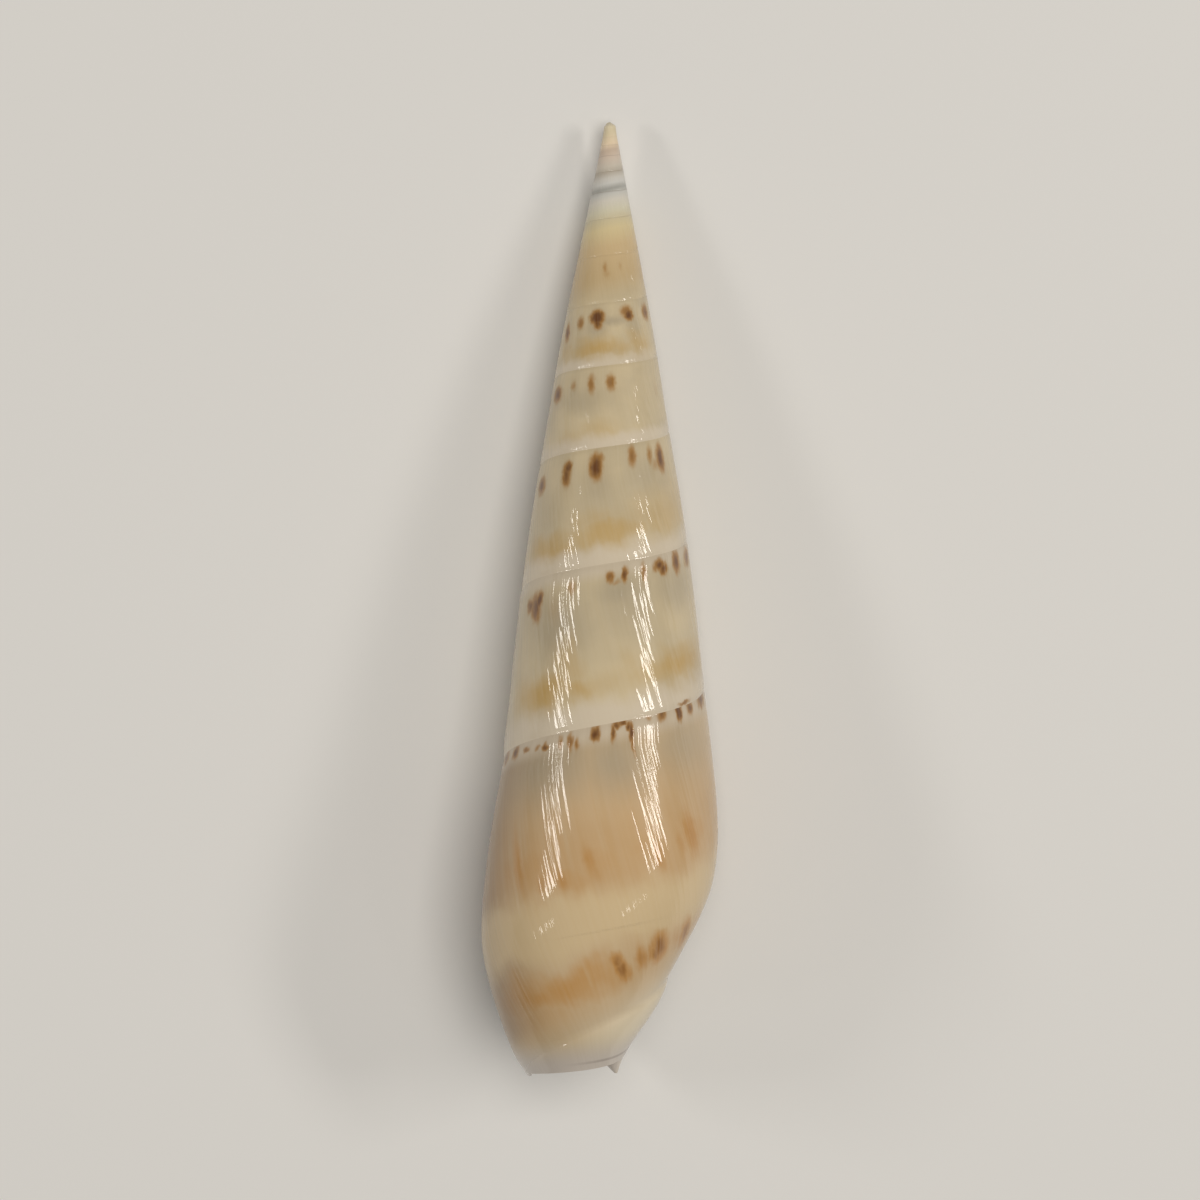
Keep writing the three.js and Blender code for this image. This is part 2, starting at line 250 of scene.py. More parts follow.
def outside_radius(t, z):
    """Radius of the outside at an angle and a depth, down to the rim of the notch."""
    t, z = np.broadcast_arrays(np.asarray(t, float), np.asarray(z, float))
    top, end = suture(t), ridge(t)
    f = (z - top) / (end - top)
    low, high = np.zeros_like(z), np.ones_like(z)
    for _ in range(DEPTH_HALVINGS):
        middle = (low + high) / 2
        above = fasciole(t, middle)[1] < z
        low = np.where(above, middle, low)
        high = np.where(above, high, middle)
    return np.where(f <= 1, body_radius(t, np.clip(f, 0, 1)), fasciole(t, low)[0])


def bend(z):
    """How far the slightly bent spire stands to the right of the axis."""
    return SPIRE_BEND * (1 - ease(z / SPIRE_BEND_DEPTH))


def place(t, r, z):
    """A point in metres, with the axis along Y and the back towards +Z."""
    angle = 2 * math.pi * t
    points = (bend(z) + r * np.cos(angle), -z + 0 * angle, r * np.sin(angle))
    return np.stack(points, axis=-1) * UNIT


def band_share(t, w):
    """Depth on a whorl's visible band at w, and its share of the way to the ridge."""
    top = suture(t)
    z = top + w * (suture(t + 1) - top)
    return z, (z - top) / (ridge(t) - top)


def band_radius(t, w):
    """Radius on a whorl's visible band, with a groove along each suture."""
    z, f = band_share(t, w)
    lower = np.where(t <= LIP_ANGLE - 1, np.exp(-(((1 - w) / GROOVE_WIDTH) ** 2)), 0)
    groove = np.exp(-((w / GROOVE_WIDTH) ** 2)) + lower
    radius = np.where(t < -0.5, spire_radius(z), body_radius(t, f))
    return radius * (1 - GROOVE * groove)


def spread(rows, near):
    """Shares from 0 up to 1, closer together near both ends."""
    s = np.arange(rows) / rows
    return s - near * np.sin(2 * math.pi * s) / (2 * math.pi)


def mesh_object(name, points, faces):
    mesh = bpy.data.meshes.new(name)
    mesh.from_pydata([tuple(p) for p in points], [], faces)
    mesh.update()
    piece = bpy.data.objects.new(name, mesh)
    bpy.context.scene.collection.objects.link(piece)
    return piece


def end_wall(points, outer, inner, base):
    """Triangles between the last column of points and the column one turn before it."""
    faces = [(outer[0], inner[1], outer[1])]
    a = b = 1
    while a < len(outer) - 1 or b < len(inner) - 1:
        take_outer = b == len(inner) - 1 or (
            a < len(outer) - 1 and -points[outer[a + 1]][1] <= -points[inner[b + 1]][1]
        )
        if take_outer:
            faces.append((outer[a], inner[b], outer[a + 1]))
            a += 1
        else:
            faces.append((outer[a], inner[b], inner[b + 1]))
            b += 1
    faces.append((outer[a], inner[b], base))
    return faces


def outside():
    """The outside, filled up to the axis, with a flat wall where the lip ends."""
    points, faces, columns = [], [], {}
    first, last = round(FIRST_ANGLE * SEGMENTS), round(LIP_ANGLE * SEGMENTS)
    start = last - SEGMENTS
    bands = spread(BAND_ROWS, ROWS_NEAR_SUTURE)
    lower = np.arange(LOWER_ROWS + 1) / LOWER_ROWS
    under = (np.arange(FASCIOLE_ROWS) + 1) / FASCIOLE_ROWS

    def sideways(z):
        return lag((z - suture(LIP_ANGLE)) / (LAG_END - suture(LIP_ANGLE)))

    for i in range(first, last + 1):
        angle = i / SEGMENTS
        blend = lean(angle)
        t = angle - blend * lag(band_share(angle, bands)[1])
        rows = [place(t, band_radius(t, bands), band_share(t, bands)[0])]
        if i >= start:
            share = band_share(angle, 1.0)[1]
            f = share + lower * (1 - share)
            z = suture(angle) + f * (ridge(angle) - suture(angle))
            t = angle - (blend * lag(f) + (1 - blend) * sideways(z))
            rows.append(place(t, body_radius(t, f), suture(t) + f * (ridge(t) - suture(t))))
            z = fasciole(angle, under)[1]
            t = angle - (blend * LIP_LAG + (1 - blend) * sideways(z))
            r, z = fasciole(t, under)
            rows.append(place(t, r, z))
        rows = np.concatenate(rows)
        columns[i] = list(range(len(points), len(points) + len(rows)))
        points.extend(rows)
    for i in range(first, start + 1):
        below = columns[i + SEGMENTS][0]
        columns[i] = columns[i][:BAND_ROWS] + [below] + columns[i][BAND_ROWS + 1:]

    tip, base = len(points), len(points) + 1
    points.extend([place(0.0, 0.0, 0.0), np.array((0, -BASE_DEPTH * UNIT, 0))])
    for i in range(first, last):
        here, after = columns[i], columns[i + 1]
        rows = BAND_ROWS if i < start else len(here) - 1
        faces.extend((here[j], after[j], after[j + 1], here[j + 1]) for j in range(rows))
        if i >= start:
            faces.append((here[-1], after[-1], base))
    for i in range(first, first + SEGMENTS):
        faces.append((tip, columns[i + 1][0], columns[i][0]))
    for j in range(BAND_ROWS, 0, -1):
        faces.append((tip, columns[first][j - 1], columns[first][j]))

    faces.extend(end_wall(points, columns[last], columns[start][BAND_ROWS:], base))
    used = sorted({v for face in faces for v in face})
    number = {v: k for k, v in enumerate(used)}
    faces = [tuple(number[v] for v in face) for face in faces]
    return mesh_object("outside", [points[v] for v in used], faces)


def wall(t, to_lip, z):
    """Thickness of the wall, thinner towards the lip and the rim of the notch."""
    lip = ease(to_lip / LIP_THINS_OVER)
    rim = ease((rim_depth(t) - z) / RIM_THINS_OVER + 0.1)
    share = np.minimum(lip, RIM_WALL_SHARE + (1 - RIM_WALL_SHARE) * rim)
    return LIP_WALL + (WALL - LIP_WALL) * share


def cavity_outer(t, to_lip, z):
    """Radius of the space's far side, with the wall measured square to its slope."""
    slope = (outside_radius(t, z + 2) - outside_radius(t, z - 2)) / 4
    return outside_radius(t, z) - wall(t, to_lip, z) * np.minimum(MOST_SLANT, np.hypot(1, slope))


def cavity_inner(t, z):
    """Radius of the space's near side: the whorl before, and below it the core."""
    before = t - 1
    end = ridge(before)
    down = np.clip((z - end) / CORE_NARROWS_OVER, 0, 1)
    low = CORE + (body_radius(before, 1.0) + CALLUS - CORE) * (1 - down) ** 2
    high = np.maximum(CORE, outside_radius(before, np.minimum(z, end)) + CALLUS)
    return np.where(z < end, high, low)


def row_depths(t, top):
    """Depths of the rows of the space inside, from its top to its floor or out of the notch."""
    k = np.arange(CAVITY_ROWS + 1)
    end = ridge(t)
    closed = top + (end - FLOOR_ABOVE_RIDGE - top) * k / CAVITY_ROWS
    drop = fasciole(t, 1.0)[1] - end
    fall = drop - min(FLOOR_ABOVE_RIM, FLOOR_ABOVE_RIM_SHARE * drop)
    body_rows = CAVITY_ROWS - CAVITY_LAST_ROWS
    depth = np.where(
        k <= body_rows,
        top + (end - top) * k / body_rows,
        end + fall * (k - body_rows) / (CAVITY_LAST_ROWS - 1),
    )
    opened = ease((t - NOTCH_ANGLE) / NOTCH_OPENS_OVER)
    depth[-1] = end + fall + 1 + (BELOW - end - fall) * opened
    return closed + (depth - closed) * ease(t / FOLLOW_ANGLE)


def cavity():
    """The space inside, which is cut out of the filled outside."""
    points, faces = [], []
    first = round(CAVITY_START * CAVITY_SEGMENTS)
    last = round((LIP_ANGLE + CAVITY_PAST_LIP) * CAVITY_SEGMENTS)
    for i in range(first, last + 1):
        angle = i / CAVITY_SEGMENTS
        blend = lean(angle)
        side = suture(angle)
        span = ridge(angle) - side

        def walls(z):
            t = angle - blend * lag(np.clip((z - side) / span, 0, 1))
            return t, cavity_outer(t, LIP_ANGLE - angle, z), cavity_inner(t, z)

        # The space begins where its two sides stand far enough apart.
        tries = side + np.arange(4.0, 204.0, 0.5)
        _, far, near = walls(tries)
        top = tries[np.argmax(far - near >= LEAST_GAP)]
        z = row_depths(angle - blend * LIP_LAG, top)
        t, far, near = walls(z)
        near = np.minimum(near, far - LEAST_SPACE)
        points.extend(place(t, far, z))
        points.extend(place(t, near, z)[::-1])
    around = 2 * (CAVITY_ROWS + 1)
    count = last - first
    for i in range(count):
        for j in range(around):
            here, side = i * around + j, i * around + (j + 1) % around
            faces.append((here, here + around, side + around, side))
    for k in range(CAVITY_ROWS):
        far = around - 1 - k
        faces.append((k, k + 1, far - 1, far))
        end = count * around
        faces.append((end + k, end + far, end + far - 1, end + k + 1))
    return mesh_object("space", points, faces)


def columella():
    """The pillar in the middle, with the point that shows below the rim."""
    sides = COLUMELLA_SIDES
    radius, shift = curve(COLUMELLA, 1), curve(COLUMELLA, 2)
    buried = np.linspace(COLUMELLA[0][0], 895, 18)
    point = np.linspace(900, COLUMELLA[-1][0], 26)
    depths = np.concatenate([buried, point])
    points, faces = [], []
    turn = 2 * math.pi * np.arange(sides) / sides
    for z in depths:
        r = float(radius(z))
        ring = (shift(z) + r * np.cos(turn), -z + 0 * turn, r * np.sin(turn))
        points.extend(np.stack(ring, axis=-1) * UNIT)
    for k in range(len(depths) - 1):
        for i in range(sides):
            here, side = k * sides + i, k * sides + (i + 1) % sides
            faces.append((here, side, side + sides, here + sides))
    faces.append(tuple(range(sides - 1, -1, -1)))
    end = (len(depths) - 1) * sides
    faces.append(tuple(range(end, end + sides)))
    return mesh_object("columella", points, faces)


def joined(body, tool, operation):
    """body cut or joined with tool, which is used up."""
    change = body.modifiers.new("change", "BOOLEAN")
    change.operation = operation
    change.solver = "MANIFOLD"
    change.object = tool
    bpy.context.view_layer.update()
    graph = bpy.context.evaluated_depsgraph_get()
    mesh = bpy.data.meshes.new_from_object(body.evaluated_get(graph))
    body.modifiers.clear()
    old = body.data
    body.data = mesh
    bpy.data.meshes.remove(old)
    bpy.data.meshes.remove(tool.data)
    return body


piece = joined(outside(), cavity(), "DIFFERENCE")
piece = joined(piece, columella(), "UNION")
piece.name = "shell_surface"
piece.data.name = "shell_surface"
mesh = piece.data


def read(items, what, kind, width=1):
    values = np.empty(len(items) * width, kind)
    items.foreach_get(what, values)
    return values


def polar(points):
    """Angle, radius and depth of points in metres."""
    z = -points[:, 1] / UNIT
    x = points[:, 0] / UNIT - bend(z)
    y = points[:, 2] / UNIT
    return np.arctan2(y, x) / (2 * math.pi), np.hypot(x, y), z


# Every corner learns where it is on the shell: its angle of growth and its place on the whorl.
own = read(mesh.vertices, "co", np.float32, 3).reshape(-1, 3).astype(float)
loop_vertex = read(mesh.loops, "vertex_index", np.int32)
loop_start = read(mesh.polygons, "loop_start", np.int32)
loop_total = read(mesh.polygons, "loop_total", np.int32)
loop_face = np.repeat(np.arange(len(mesh.polygons)), loop_total)
centre = np.add.reduceat(own[loop_vertex], loop_start) / loop_total[:, None]

face_turn, face_radius, face_depth = polar(centre)
face_turn = face_turn % 1.0
whorl = np.full(len(centre), float(OLDEST_WHORL))
for n in range(OLDEST_WHORL, 1):
    t = face_turn + n
    begun = (suture(t) <= face_depth + DEPTH_SLACK) & (t <= LIP_ANGLE + ANGLE_SLACK)
    whorl = np.where(begun, n, whorl)
face_turn = face_turn + whorl
turn, radius, depth = polar(own[loop_vertex])
turn = turn + np.round(face_turn[loop_face] - turn)
top, end = suture(turn), ridge(turn)
share = (depth - top) / (end - top)
across = (depth - top) / (suture(turn + 1) - top)
level = depth + BAND_LEAN * spire_radius(depth) * np.cos(2 * math.pi * turn)
layers = {
    "growth": (turn + lag(share), across),
    "site": (turn, share),
    "inner": (radius / np.maximum(1, outside_radius(turn, depth)), level / LENGTH),
    "rim": (turn, (rim_depth(turn) - depth) / LENGTH),
}
for name, pair in layers.items():
    layer = mesh.uv_layers.new(name=name)
    layer.data.foreach_set("uv", np.stack(pair, axis=-1).astype(np.float32).ravel())

# Faces below the skin get the second material, the lining.
skin_radius = outside_radius(face_turn, face_depth)
skin_radius = np.where(face_turn < -0.5, spire_radius(face_depth), skin_radius)
lined = face_radius < skin_radius * (1 - LINING_BELOW_SHARE) - LINING_BELOW
lined &= face_depth > LINING_FROM
mesh.polygons.foreach_set("material_index", lined.astype(np.int32))
mesh.polygons.foreach_set("use_smooth", np.ones(len(mesh.polygons), bool))
mesh.set_sharp_from_angle(angle=SHARP_ANGLE)

# Lay the shell down as it rests: the tip sinks, the ground flattens what it touches.
lay = Matrix.Rotation(-PITCH, 3, "X")
lying = own @ np.array(lay).T
low, high = lying.min(axis=0), lying.max(axis=0)
shift = np.array((-(low[0] + high[0]) / 2, -(low[1] + high[1]) / 2, -FLAT - low[2]))
lying += shift
lying[:, 2] = np.maximum(lying[:, 2], 0)
mesh.vertices.foreach_set("co", lying.astype(np.float32).ravel())
mesh.update()


def linear(red, green, blue):
    """A colour given as it looks on a screen, from 0 to 255, as the shaders take it."""
    shares = (value / 255 for value in (red, green, blue))
    parts = [v / 12.92 if v <= 0.04045 else ((v + 0.055) / 1.055) ** 2.4 for v in shares]
    return (*parts, 1)


class Shader:
    """Adds nodes to one tree. Each call gives the socket that holds its result."""

    def __init__(self, tree):
        self.tree = tree

    def feed(self, socket, value):
        if isinstance(value, bpy.types.NodeSocket):
            self.tree.links.new(value, socket)
        else:
            socket.default_value = value

    def node(self, kind, inputs, output=0, **settings):
        made = self.tree.nodes.new("ShaderNode" + kind)
        for name, value in settings.items():
            setattr(made, name, value)
        for name, value in inputs.items():
            self.feed(made.inputs[name], value)
        return made.outputs[output]

    def math(self, operation, first, second=0.0):
        return self.node("Math", {0: first, 1: second}, operation=operation)

    def times(self, first, *others):
        for other in others:
            first = self.math("MULTIPLY", first, other)
        return first

    def plus(self, first, second):
        return self.math("ADD", first, second)

    def minus(self, first, second):
        return self.math("SUBTRACT", first, second)

    def strongest(self, first, *others):
        for other in others:
            first = self.math("MAXIMUM", first, other)
        return first

    def rise(self, value, low, high, most=1.0):
        """0 below low, most above high; falls instead where low is above high."""
        inputs = {"Value": value, "From Min": low, "From Max": high, "To Max": most}
        return self.node("MapRange", inputs, interpolation_type="SMOOTHSTEP")

    def between(self, value, begin, full, fade, end):
        """0 up to begin and beyond end, 1 from full to fade."""
        return self.times(self.rise(value, begin, full), self.rise(value, end, fade))

    def vector(self, x, y, z=0.0):
        return self.node("CombineXYZ", {"X": x, "Y": y, "Z": z})

    def grain(self, growth, across, a_turn, a_whorl, seed, detail=2.0):
        """Noise from 0 to 1, with so many waves in a turn and across a whorl."""
        where = self.vector(self.times(growth, a_turn), self.times(across, a_whorl), seed)
        inputs = {"Vector": where, "Scale": 1.0, "Detail": detail, "Roughness": 0.5}
        return self.node("TexNoise", inputs, output="Fac")

    def swing(self, noise, reach):
        """A noise made into a shift to both sides."""
        return self.times(self.minus(noise, 0.5), reach)

    def moved(self, place, u, v):
        return self.node("VectorMath", {0: place, 1: self.vector(u, v)}, operation="ADD")

    def mix(self, share, first, second):
        made = self.tree.nodes.new("ShaderNodeMix")
        made.data_type = "RGBA"
        self.feed(made.inputs[0], share)
        self.feed(made.inputs[6], first)
        self.feed(made.inputs[7], second)
        return made.outputs[2]

    def paint(self, share, colour, over):
        """The colour so far, covered to a share by a colour given as it looks on a screen."""
        return self.mix(share, colour, linear(*over))

    def ramp(self, value, stops):
        made = self.tree.nodes.new("ShaderNodeValToRGB")
        self.feed(made.inputs[0], value)
        points = made.color_ramp.elements
        while len(points) < len(stops):
            points.new(1.0)
        for point, (place, colour) in zip(points, stops):
            point.position = place
            point.color = colour
        return made.outputs[0]

    def layer(self, name):
        """The two numbers that the mesh carries in its layer of this name."""
        here = self.node("UVMap", {}, uv_map=name)
        parts = self.tree.nodes.new("ShaderNodeSeparateXYZ")
        self.tree.links.new(here, parts.inputs[0])
        return here, parts.outputs["X"], parts.outputs["Y"]


def material(name):
    made = bpy.data.materials.new(name)
    made.use_nodes = True
    return made, made.node_tree.nodes["Principled BSDF"]


# Marks near the edge are seen from the side. They are drawn out no more than this allows.
LEAST_SLANT = 0.3


def growth_place(x, depth):
    """Growth angle, place across the whorl, and sizes of a turn and a whorl, at a point that shows.

    The point is given as the camera sees it, on the plane through the axis.
    """
    widest = float(spire_radius(depth) if depth < SPIRE_END else outside_radius(0.25, depth))
    height = math.sqrt(max(0.0, widest**2 - x**2))
    nearer = 1 - height / CAMERA_UNITS
    x = AIM[0] + (x - AIM[0]) * nearer
    depth = AIM[1] + (depth - AIM[1]) * nearer
    for n in range(0, OLDEST_WHORL, -1):
        low, high = 0.0, 0.5
        for _ in range(ANGLE_HALVINGS):
            middle = (low + high) / 2
            t = n + middle
            radius = float(spire_radius(depth) if n < 0 else outside_radius(t, depth))
            reach = float(bend(depth)) + radius * math.cos(2 * math.pi * middle)
            low, high = (middle, high) if reach > x else (low, middle)
        if suture(t) <= depth:
            break
    top, band = float(suture(t)), float(suture(t + 1) - suture(t))
    share = (depth - top) / float(ridge(t) - top)
    width = 2 * math.pi * radius * max(LEAST_SLANT, math.sin(2 * math.pi * middle))
    return t + float(lag(share)), (depth - top) / band, width, band


def spot_group(name, edge):
    """A node group that adds one soft-edged spot to what it is given and keeps the stronger."""
    group = bpy.data.node_groups.new(name, "ShaderNodeTree")
    for label, kind in (
        ("Place", "NodeSocketVector"), ("Centre", "NodeSocketVector"), ("Reach", "NodeSocketVector"),
        ("Strength", "NodeSocketFloat"), ("Core", "NodeSocketFloat"), ("Halo", "NodeSocketFloat"),
    ):
        group.interface.new_socket(label, in_out="INPUT", socket_type=kind)
    for label in ("Core", "Halo"):
        group.interface.new_socket(label, in_out="OUTPUT", socket_type="NodeSocketFloat")
    shader = Shader(group)
    given = group.nodes.new("NodeGroupInput").outputs
    result = group.nodes.new("NodeGroupOutput").inputs
    away = shader.node("VectorMath", {0: given["Place"], 1: given["Centre"]}, operation="SUBTRACT")
    away = shader.node("VectorMath", {0: away, 1: given["Reach"]}, operation="MULTIPLY")
    far = shader.node("VectorMath", {0: away}, output="Value", operation="LENGTH")
    for label, low, high in (("Core", 0.0, edge), ("Halo", 0.5, 3.0)):
        here = shader.times(shader.rise(far, high, low), given["Strength"])
        group.links.new(shader.strongest(here, given[label]), result[label])
    return group


# Marks on the side that shows: across from the axis, depth, half width, half height, strength.
DASHES = (
    (-2.5, 146, 2.6, 6.5, 0.34), (-1, 152, 4, 5, 0.22), (12.5, 144, 2, 5, 0.2),
    (-40, 211, 2, 9, 0.75), (-27, 201, 3.4, 7, 0.5), (-10.5, 195.5, 6.6, 7, 1),
    (-10, 201, 4.4, 6.5, 0.75),
    (18.5, 189, 6, 6, 0.55), (21, 193, 4.4, 5.5, 0.85), (37.5, 190, 2.8, 8, 0.7),
    (-50, 273, 3.4, 8, 0.8), (-34, 264, 3, 5.5, 0.36), (-16.5, 262, 3.8, 10, 0.5),
    (3, 260.5, 5, 8.5, 0.55), (48, 268, 2, 10, 0.15),
    (-66, 364, 3, 9, 0.8), (-41.5, 353, 4.2, 12, 0.7), (-39, 346, 3.4, 7, 0.75),
    (-12, 345, 6.4, 12.5, 0.88), (-10, 337, 6, 6, 0.6), (24.5, 334, 4.2, 10.5, 0.56),
    (42, 333, 2.8, 10, 0.42), (52.5, 336, 3.6, 13, 0.85), (48, 342, 4, 7, 0.3),
    (-72, 486, 4.4, 14, 0.8), (-77, 484, 3.2, 8, 0.7), (-68, 478, 3, 9, 0.85),
    (-36, 466, 4.4, 8, 0.34), (-54, 488, 7, 17, 0.16),
    (2.5, 455, 4.4, 6.5, 0.62), (17.5, 452, 3.2, 7.5, 0.75), (9, 460, 6, 3, 0.3),
    (36.5, 451, 2.8, 11, 0.5), (52, 443, 5.5, 6, 0.8), (56, 447, 4, 6, 0.75),
    (68.5, 440, 3.2, 11, 0.8), (79, 435, 2.6, 9, 0.7),
    (-101, 636, 2.5, 7, 0.7), (-92, 631, 3.2, 6, 0.85), (-81, 627, 3, 3, 0.6),
    (-70, 626, 2.6, 2.6, 0.4),
    (-62.5, 625, 3.6, 3.6, 0.75), (-47, 621, 2.4, 7, 0.5), (-37, 620, 3, 10, 0.55),
    (-31, 622, 2.4, 7, 0.5), (-12.5, 611.5, 4.2, 7.5, 0.85),
    (5.5, 611, 2.4, 9, 0.72), (9, 603, 3.4, 3.6, 0.7), (15, 600.5, 5.5, 2.6, 0.72),
    (21, 604, 3, 4, 0.75), (24, 610, 2.8, 9, 0.85), (25.5, 622, 2, 12, 0.5),
    (41, 596, 3, 5, 0.4), (55, 593, 4.2, 8, 0.66),
    (71.5, 589, 2.8, 10, 0.85), (77, 581, 5.5, 2.4, 0.6), (82.5, 586, 2.6, 8, 0.75),
    (94, 577, 3, 8, 0.8),
)
STREAKS = (
    (10, 840, 6, 9, 0.8), (15, 848, 6, 12, 0.9), (21, 850, 4, 9, 0.5), (34, 836, 6, 13, 0.65),
    (43, 832, 4, 10, 0.55), (53, 824, 8, 14, 1), (49, 832, 6, 11, 0.8), (78, 811, 5, 16, 0.85),
    (70, 816, 5, 12, 0.3), (89, 800, 6, 16, 0.3),
    (-18, 738, 6, 16, 0.4), (-12, 748, 5, 14, 0.3), (52, 735, 5, 14, 0.5), (84, 712, 6, 22, 0.55),
    (74, 722, 4, 16, 0.3), (-90, 738, 4, 30, 0.4), (-66, 764, 5, 10, 0.35), (-45, 760, 5, 12, 0.4),
)
CLOUDS = (
    (-11, 227, 27, 10, 0.9), (30, 221, 10, 12, 0.6), (-42, 231, 6, 11, 0.5),
    (-9, 308, 18, 10, 0.35), (-36, 318, 10, 9, 0.3),
    (2, 413, 36, 13, 0.8), (-12, 402, 20, 14, 0.4), (-61, 430, 24, 13, 0.85), (58, 394, 32, 20, 0.5),
    (73, 380, 14, 24, 0.35),
    (-66, 573, 22, 18, 1), (-30, 567, 17, 12, 0.75), (75, 541, 26, 17, 0.95), (60, 545, 30, 14, 0.6),
    (24, 541, 16, 14, 0.25), (-42, 545, 12, 26, 0.45), (-10, 560, 40, 12, 0.3),
    (-85, 750, 34, 34, 0.7), (-45, 758, 34, 18, 0.7), (-10, 742, 34, 26, 0.6), (45, 726, 30, 28, 0.6),
    (86, 708, 24, 28, 0.7), (20, 720, 70, 30, 0.4),
    (-38, 866, 56, 18, 1), (-20, 856, 26, 14, 0.9), (-72, 876, 26, 16, 1), (-92, 872, 24, 14, 0.8),
    (-5, 854, 26, 18, 0.6),
    (22, 852, 26, 20, 0.3), (60, 820, 24, 16, 0.3), (-70, 900, 40, 22, 0.5), (-20, 895, 50, 20, 0.3),
)
SHADES = (
    (-66, 645, 46, 36, 1), (8, 640, 30, 34, 0.9), (14, 625, 14, 20, 0.6), (76, 620, 26, 32, 0.75),
    (-30, 640, 24, 18, 0.4), (12, 470, 20, 16, 0.8), (25, 482, 26, 30, 0.55), (-50, 504, 26, 34, 0.75),
    (-54, 488, 10, 17, 0.5), (70, 468, 20, 20, 0.6), (-15, 372, 22, 26, 0.45), (45, 354, 22, 18, 0.4),
    (-60, 388, 16, 24, 0.5), (5, 199, 16, 5, 0.8), (-10, 206, 10, 9, 0.6), (26, 202, 8, 12, 0.6),
    (-22, 278, 24, 12, 0.45), (-34, 272, 6, 12, 0.4),
)
HIDDEN_DASHES_A_TURN = 21
FIRST_DASHED_TURN = -4.9


def spots(shader, place, group, table):
    """All spots of a table, laid over each other: their cores and their halos."""
    core = halo = 0.0
    for x, depth, half_width, half_height, strength in table:
        u, v, width, band = growth_place(x, depth)
        made = shader.tree.nodes.new("ShaderNodeGroup")
        made.node_tree = group
        shader.feed(made.inputs["Place"], place)
        made.inputs["Centre"].default_value = (u, v, 0)
        made.inputs["Reach"].default_value = (width / half_width, band / half_height, 0)
        made.inputs["Strength"].default_value = strength
        shader.feed(made.inputs["Core"], core)
        shader.feed(made.inputs["Halo"], halo)
        core, halo = made.outputs["Core"], made.outputs["Halo"]
    return core, halo


def hidden_dashes(shader, growth, across, turn):
    """Dashes below the sutures on the side away from the camera, one in each cell of growth."""
    cell = shader.tree.nodes.new("ShaderNodeTexVoronoi")
    cell.voronoi_dimensions = "1D"
    cell.inputs["Randomness"].default_value = 0.9
    shader.feed(cell.inputs["W"], shader.times(growth, HIDDEN_DASHES_A_TURN))
    cell.inputs["Scale"].default_value = 1.0
    parts = shader.tree.nodes.new("ShaderNodeSeparateColor")
    shader.tree.links.new(cell.outputs["Color"], parts.inputs[0])
    chance, length = parts.outputs[0], parts.outputs[1]
    wide = shader.rise(cell.outputs["Distance"], 0.4, 0.04)
    low_end = shader.plus(0.12, shader.times(length, 0.12))
    above_end = shader.rise(shader.minus(low_end, across), -0.02, 0.1)
    tall = shader.times(shader.rise(across, 0.0, 0.08), above_end)
    lower = shader.times(shader.between(across, 1.06, 1.14, 1.18, 1.3), 0.5)
    hidden = shader.between(shader.math("FRACT", turn), 0.5, 0.52, 0.98, 1.0)
    begun = shader.rise(turn, FIRST_DASHED_TURN, FIRST_DASHED_TURN + 0.3)
    present = shader.rise(chance, 0.25, 0.55)
    return shader.times(wide, shader.plus(tall, lower), hidden, begun, present)


# Colours as they look on a screen, and the depths of those of the early whorls.
EARLY_DEPTH = 200
EARLY_COLOURS = (
    (0, (222, 210, 180)), (11, (224, 208, 172)), (22, (236, 214, 182)), (28.5, (206, 184, 162)),
    (36, (214, 196, 178)), (45, (208, 198, 182)), (51, (186, 176, 160)), (57, (210, 205, 196)),
    (62, (210, 208, 202)), (67.5, (164, 163, 156)), (73, (204, 202, 195)), (79, (218, 212, 199)),
    (90, (216, 209, 183)), (98, (210, 197, 162)), (108, (220, 202, 156)), (126, (210, 184, 140)),
    (160, (200, 174, 130)), (200, (202, 184, 146)),
)


SPIRE_GROUND = ((212, 194, 158), (198, 182, 150))
BODY_GROUND = ((210, 184, 146), (202, 175, 136))
SHADE_GREY = (162, 150, 128)
SPIRE_AMBER = (194, 157, 86)
BODY_AMBER = (196, 146, 80)
FLANK_SHADE_BROWN = (124, 88, 40)
SPIRE_PALE = (218, 204, 182)
TOP_PALE = (210, 196, 174)
BODY_PALE = (220, 197, 154)
BASE_SHADED_LEFT = (196, 178, 146)
BASE_LIT_RIGHT = (226, 213, 186)
EDGE_GREY = (198, 190, 184)
RIM_SHADOW_BROWN = (120, 104, 96)
STREAK_TAN = (188, 134, 62)
STREAK_BROWN = (142, 92, 32)
HALO_TAN = (150, 132, 106)
DASH_TAN = (168, 120, 52)
DASH_BROWN = (100, 58, 22)
SUTURE_SHADE_BROWN = (124, 102, 82)
LINE_WHITE = (255, 250, 240)
LINING_BROWN = ((186, 150, 108), (168, 128, 84))
PILLAR_WHITE = (214, 206, 188)
LIP_PALE = (208, 194, 166)

# Heights of the growth lines' relief, in metres.
SOFT_RELIEF = 0.000006
CRISP_RELIEF = 0.000032
LINING_RELIEF = 0.00002


def ground(shader, share, pair):
    """An uneven ground between two colours."""
    return shader.mix(shader.rise(share, 0.3, 0.7), linear(*pair[0]), linear(*pair[1]))


def bump(shader, height, distance):
    return shader.node("Bump", {"Height": height, "Distance": distance, "Strength": 1.0})


